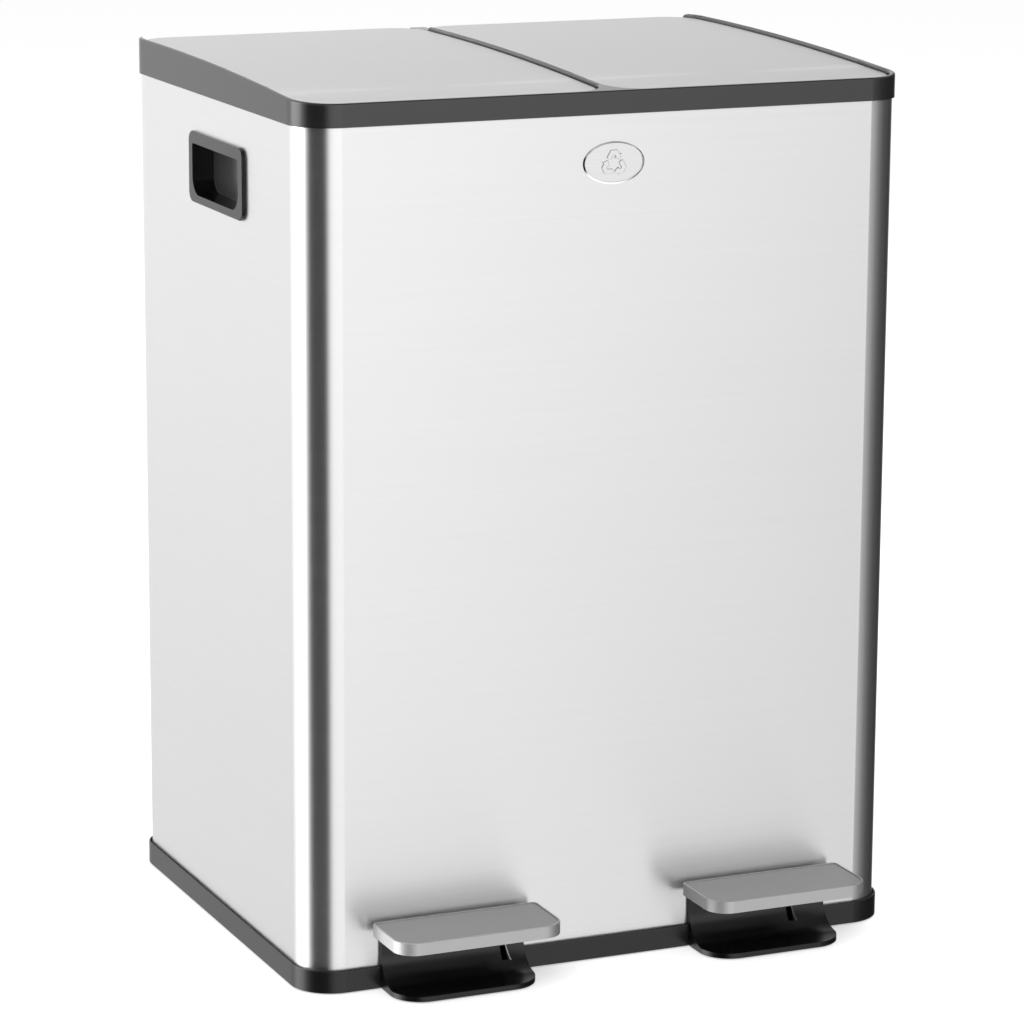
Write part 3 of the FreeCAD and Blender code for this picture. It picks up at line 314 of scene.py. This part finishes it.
def sweep(name, rings, closed):
    """Mesh through equal rings of points in order; closed joins the last ring to the first."""
    count = len(rings[0])
    points = [p for ring in rings for p in ring]
    faces = []
    for i in range(len(rings) if closed else len(rings) - 1):
        here = i * count
        there = (i + 1) % len(rings) * count
        for j in range(count):
            k = (j + 1) % count
            faces.append((here + j, here + k, there + k, there + j))
    if not closed:
        faces.append(tuple(reversed(range(count))))
        faces.append(tuple(range(len(points) - count, len(points))))
    mesh = bpy.data.meshes.new(name)
    mesh.from_pydata(points, [], faces)
    shape = bmesh.new()
    shape.from_mesh(mesh)
    bmesh.ops.recalc_face_normals(shape, faces=shape.faces)
    shape.to_mesh(mesh)
    shape.free()
    return mesh


# The badge's details are in millimetres. The section is the rim's offsets from the badge's outline
# and its heights above the badge's face.
RIM_SECTION = ((0.6, -0.5), (0.6, -0.4), (-0.6, 0.45), (-0.85, 0.45), (-1.05, 0.25), (-1.05, -0.1))
RIM_STEPS = 144
ARROW_COUNT = 3
ARROW_SIZE = 1.06           # scale of the outline made from the next seven values
CORNER_RISE = 10.4          # the triangle's top corner above the mark's middle
TAIL_LENGTH = 8.2           # from that corner to the tail, the bends, the neck and the tip
BEND_LENGTH = 3.0
NECK_LENGTH = 5.4
TIP_LENGTH = 9.0
ARROW_HALF = 1.75           # half the width of the band, and of the head
HEAD_HALF = 3.3
ARROW_RISE = 0.6
ARROW_SUNK = 0.1
ARROW_EDGE = 0.5            # width of its bevelled edge
MARK_DROP = 0.6             # the mark's middle below the badge's middle


def oval_rim(name, half_long, half_high):
    """Pressed rim round an oval with these half axes in millimetres."""
    rings = []
    for i in range(RIM_STEPS):
        turn = 2 * math.pi * i / RIM_STEPS
        rings.append([((half_long + offset) * MM * math.cos(turn), -height * MM,
                       (half_high + offset) * MM * math.sin(turn)) for offset, height in RIM_SECTION])
    return sweep(name, rings, True)


def arrow_outline():
    """One bent arrow of the sorting mark, clockwise over the triangle's top corner, in millimetres."""
    top = Vector((0.0, CORNER_RISE))
    up = Vector((0.5, math.sqrt(0.75)))
    down = Vector((0.5, -math.sqrt(0.75)))
    out_left = Vector((-up.y, up.x))
    out_right = Vector((-down.y, down.x))
    start = top - up * TAIL_LENGTH
    bend_a = top - up * BEND_LENGTH
    bend_b = top + down * BEND_LENGTH
    neck = top + down * NECK_LENGTH
    tip = top + down * TIP_LENGTH
    miter = ARROW_HALF / math.cos(math.radians(30))
    lean_a = (out_left + Vector((0, 1))).normalized() * miter
    lean_b = (out_right + Vector((0, 1))).normalized() * miter
    side_a = out_left * ARROW_HALF
    side_b = out_right * ARROW_HALF
    head = out_right * HEAD_HALF
    return [start + side_a, bend_a + lean_a, bend_b + lean_b, neck + side_b, neck + head, tip,
            neck - head, neck - side_b, bend_b - lean_b, bend_a - lean_a, start - side_a]


def add_mark_arrow(name, turn, place):
    """One raised arrow of the mark, with bevelled edges that catch the light."""
    spin = Matrix.Rotation(math.radians(turn), 2)
    outline = [spin @ p * ARROW_SIZE for p in arrow_outline()]
    rings = [[(p.x * MM, y * MM, p.y * MM) for p in outline] for y in (-ARROW_RISE, ARROW_SUNK)]
    piece = add_piece(name, sweep(name, rings, False), BADGE, place, smooth=False)
    edge = piece.modifiers.new("soft_edge", "BEVEL")
    edge.width = ARROW_EDGE * MM
    edge.segments = 1
    edge.limit_method = "ANGLE"


def add_badge_details():
    low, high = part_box("front_badge")
    middle_x = (low[0] + high[0]) / 2
    middle_z = (low[2] + high[2]) / 2
    rim = oval_rim("badge_rim", (high[0] - low[0]) / 2 / MM, (high[2] - low[2]) / 2 / MM)
    add_piece("badge_rim", rim, RIM, (middle_x, low[1], middle_z), smooth=False)
    for i in range(ARROW_COUNT):
        mark_place = (middle_x, low[1], middle_z - MARK_DROP * MM)
        add_mark_arrow("badge_arrow_%d" % (i + 1), 360 / ARROW_COUNT * i, mark_place)


add_badge_details()

PEDAL_X = 0.120             # pedals' middle lines from the bin's middle
LEVER_ASIDE = 0.0335        # each lever stands this far right of its pedal's middle
SLOT_HALF = 0.0023          # half the width of the guard's lever slot
GUARD_FACE_Y = -0.16205     # front of the guard's upright wall
GUARD_BEND = 0.022          # radius of the bend from wall to lip
GUARD_LIP_Z = 0.005         # top of the lip
EDGE_STEPS = 14
EDGE_FROM = 8               # the edge starts this many degrees round the bend from the wall
EDGE_SPAN = 36
EDGE_START = -0.2           # across the slot in millimetres; the edge leans right on its way down
EDGE_LEAN = 2.4
EDGE_SECTION = ((-0.45, 0.15), (0.45, 0.15), (0.45, -0.2), (-0.45, -0.2))
# Painted light: the left pedal's slot edge gets a bright shade as a painted highlight, the right pedal's a
# dark one as painted shade.
EDGE_PAINTED_LIGHT = {"left": 0.9, "right": 0.25}


def slot_edge_mesh(name):
    """Cut edge down one side of a guard's lever slot, following the guard's bend."""
    rings = []
    for i in range(EDGE_STEPS + 1):
        share = i / EDGE_STEPS
        angle = math.radians(EDGE_FROM + EDGE_SPAN * share)
        shift = EDGE_START + EDGE_LEAN * share
        rings.append([((shift + across) * MM, (GUARD_BEND - reach * MM) * math.cos(angle),
                       -(GUARD_BEND - reach * MM) * math.sin(angle)) for across, reach in EDGE_SECTION])
    return sweep(name, rings, False)


def add_slot_edges():
    for side, sign in SIDE_SIGN.items():
        name = "slot_edge_" + side
        place = (sign * PEDAL_X + LEVER_ASIDE + SLOT_HALF, GUARD_FACE_Y - GUARD_BEND,
                 GUARD_LIP_Z + GUARD_BEND)
        # The same polished finish in a lit and a shaded copy per side: painted highlight and painted shade.
        add_piece(name, slot_edge_mesh(name), polished(name, EDGE_PAINTED_LIGHT[side], 0.4), place)


add_slot_edges()


# ------------------------------------------------------------------ studio
# What polished surfaces see round the studio: heading in degrees from the front towards +X, light.
STUDIO = [
    (-180, 0.92), (-155, 0.92), (-138, 1.2), (-126, 3.6), (-104, 3.6), (-91, 1.2), (-81, 0.3),
    (-73, 0.02), (-29, 0.02), (-22, 0.4), (-15, 1.0), (-8, 1.18), (14, 1.23), (22, 1.17), (27, 1.01),
    (33, 0.8), (38, 0.46), (46, 0.3), (60, 0.17), (80, 0.08), (120, 0.04), (140, 0.26), (152, 0.85),
    (165, 0.97), (180, 0.92),
]
STUDIO_SCALE = 4.0          # keeps the profile's colours under 1 in its ramp
FLOOR_GLOW = 1.25
CEILING_GLOW = 1.15
# Changes with the height of a direction, which is -1 straight down and 1 straight up: from, to, and
# the factor or share at each.
WALL_FADE = (-0.5, 0.0, 0.6, 1.2)
CEILING_SHARE = (0.32, 0.5, 0.0, 0.35)
ZENITH_FADE = (0.6, 0.85, 1.0, 0.3)
FLOOR_SHARE = (-0.85, -0.65, 1.0, 0.0)
FILL = 0.62                 # plain light that matte surfaces get from all round
FLOOR_SHADE = 0.82
FLOOR_LIFT = 0.45           # brings the lit floor up to white for the camera only
FLOOR_REACH = 40.0


def heading_ramp(g, direction):
    """Light of the studio's profile at a direction's heading."""
    heading = g.math("ARCTAN2", direction["X"], g.times(direction["Y"], -1.0))
    ramp = g.tree.nodes.new("ShaderNodeValToRGB")
    ramp.color_ramp.interpolation = "EASE"
    elements = ramp.color_ramp.elements
    while len(elements) > 1:
        elements.remove(elements[-1])
    for i, (angle, light) in enumerate(STUDIO):
        place = (angle + 180) / 360
        stop = elements[0] if i == 0 else elements.new(place)
        stop.position = place
        stop.color = grey(light / STUDIO_SCALE)
    g.put(ramp.inputs[0], g.add(g.math("DIVIDE", heading, 2 * math.pi), 0.5))
    return g.times(ramp.outputs[0], STUDIO_SCALE)


def make_world():
    """White to the camera, plain fill on matte surfaces, and the studio's profile in reflections."""
    world = bpy.data.worlds.new("studio")
    bpy.context.scene.world = world
    world.use_nodes = True
    world.cycles.sampling_method = "NONE"
    tree = world.node_tree
    tree.nodes.clear()
    g = Graph(tree)
    direction = g.split(tree.nodes.new("ShaderNodeTexCoord").outputs["Generated"])
    height = direction["Z"]
    walls = g.times(heading_ramp(g, direction), g.remap(height, *WALL_FADE))
    upper = g.times(g.towards(walls, CEILING_GLOW, g.remap(height, *CEILING_SHARE)),
                    g.remap(height, *ZENITH_FADE))
    shown = g.towards(upper, FLOOR_GLOW, g.remap(height, *FLOOR_SHARE))
    path = tree.nodes.new("ShaderNodeLightPath").outputs
    mirror = g.math("MAXIMUM", path["Is Glossy Ray"], path["Is Transmission Ray"])
    level = g.add(g.times(path["Is Camera Ray"], 1.0 - FILL), FILL)
    made = tree.nodes.new("ShaderNodeMix")
    made.data_type = "FLOAT"
    g.put(made.inputs["Factor"], mirror)
    g.put(made.inputs[2], level)
    g.put(made.inputs[3], shown)
    back = g.node("ShaderNodeBackground", Color=grey(1.0), Strength=made.outputs[0])
    out = tree.nodes.new("ShaderNodeOutputWorld")
    tree.links.new(back.outputs[0], out.inputs["Surface"])


def make_floor():
    """Pale floor that takes the bin's shadow."""
    mesh = bpy.data.meshes.new("studio_floor")
    reach = FLOOR_REACH
    mesh.from_pydata([(-reach, -reach, 0), (reach, -reach, 0), (reach, reach, 0), (-reach, reach, 0)],
                     [], [(0, 1, 2, 3)])
    floor = bpy.data.objects.new("studio_floor", mesh)
    bpy.context.scene.collection.objects.link(floor)
    material = bpy.data.materials.new("studio_floor")
    material.use_nodes = True
    tree = material.node_tree
    tree.nodes.clear()
    g = Graph(tree)
    path = tree.nodes.new("ShaderNodeLightPath").outputs
    paint = g.node("ShaderNodeBsdfDiffuse", Color=grey(FLOOR_SHADE))
    glow = g.node("ShaderNodeEmission", Color=grey(1.0), Strength=g.times(path["Is Camera Ray"], FLOOR_LIFT))
    both = tree.nodes.new("ShaderNodeAddShader")
    tree.links.new(paint.outputs[0], both.inputs[0])
    tree.links.new(glow.outputs[0], both.inputs[1])
    out = tree.nodes.new("ShaderNodeOutputMaterial")
    tree.links.new(both.outputs[0], out.inputs["Surface"])
    mesh.materials.append(material)
    floor.visible_glossy = False


LAMP_SIZE = 2.4
LAMP_TARGET = Vector((0, 0, 0.35))


def make_lamp(name, place, power):
    """Soft square lamp aimed at the bin's middle, unseen in reflections."""
    light = bpy.data.lights.new(name, "AREA")
    light.shape = "SQUARE"
    light.size = LAMP_SIZE
    light.energy = power
    lamp = bpy.data.objects.new(name, light)
    lamp.location = place
    lamp.rotation_euler = (LAMP_TARGET - Vector(place)).to_track_quat("-Z", "Y").to_euler()
    lamp.visible_glossy = False
    bpy.context.scene.collection.objects.link(lamp)


make_world()
make_floor()
make_lamp("key_lamp", (-1.6, -2.2, 3.2), 75.0)
make_lamp("top_lamp", (0.6, 0.8, 3.4), 35.0)


# ------------------------------------------------------------------ camera
CAMERA_PLACE = (-1.274, -2.88745, 1.032)
CAMERA_YAW = 23.65          # degrees to the right of looking straight at the front
CAMERA_PITCH = -12.85
CAMERA_ROLL = 0.33
CAMERA_LENS = 146.9
SENSOR_WIDTH = 36.0
FARTHEST = 200.0


def turned(degrees, axis):
    return Matrix.Rotation(math.radians(degrees), 4, axis)


def make_camera():
    data = bpy.data.cameras.new("camera")
    data.lens = CAMERA_LENS
    data.sensor_width = SENSOR_WIDTH
    data.clip_end = FARTHEST
    camera = bpy.data.objects.new("camera", data)
    bpy.context.scene.collection.objects.link(camera)
    turn = turned(-CAMERA_YAW, "Z") @ turned(90 + CAMERA_PITCH, "X") @ turned(CAMERA_ROLL, "Z")
    camera.matrix_world = Matrix.Translation(CAMERA_PLACE) @ turn
    bpy.context.scene.camera = camera


make_camera()
bpy.context.scene.view_settings.view_transform = "Standard"
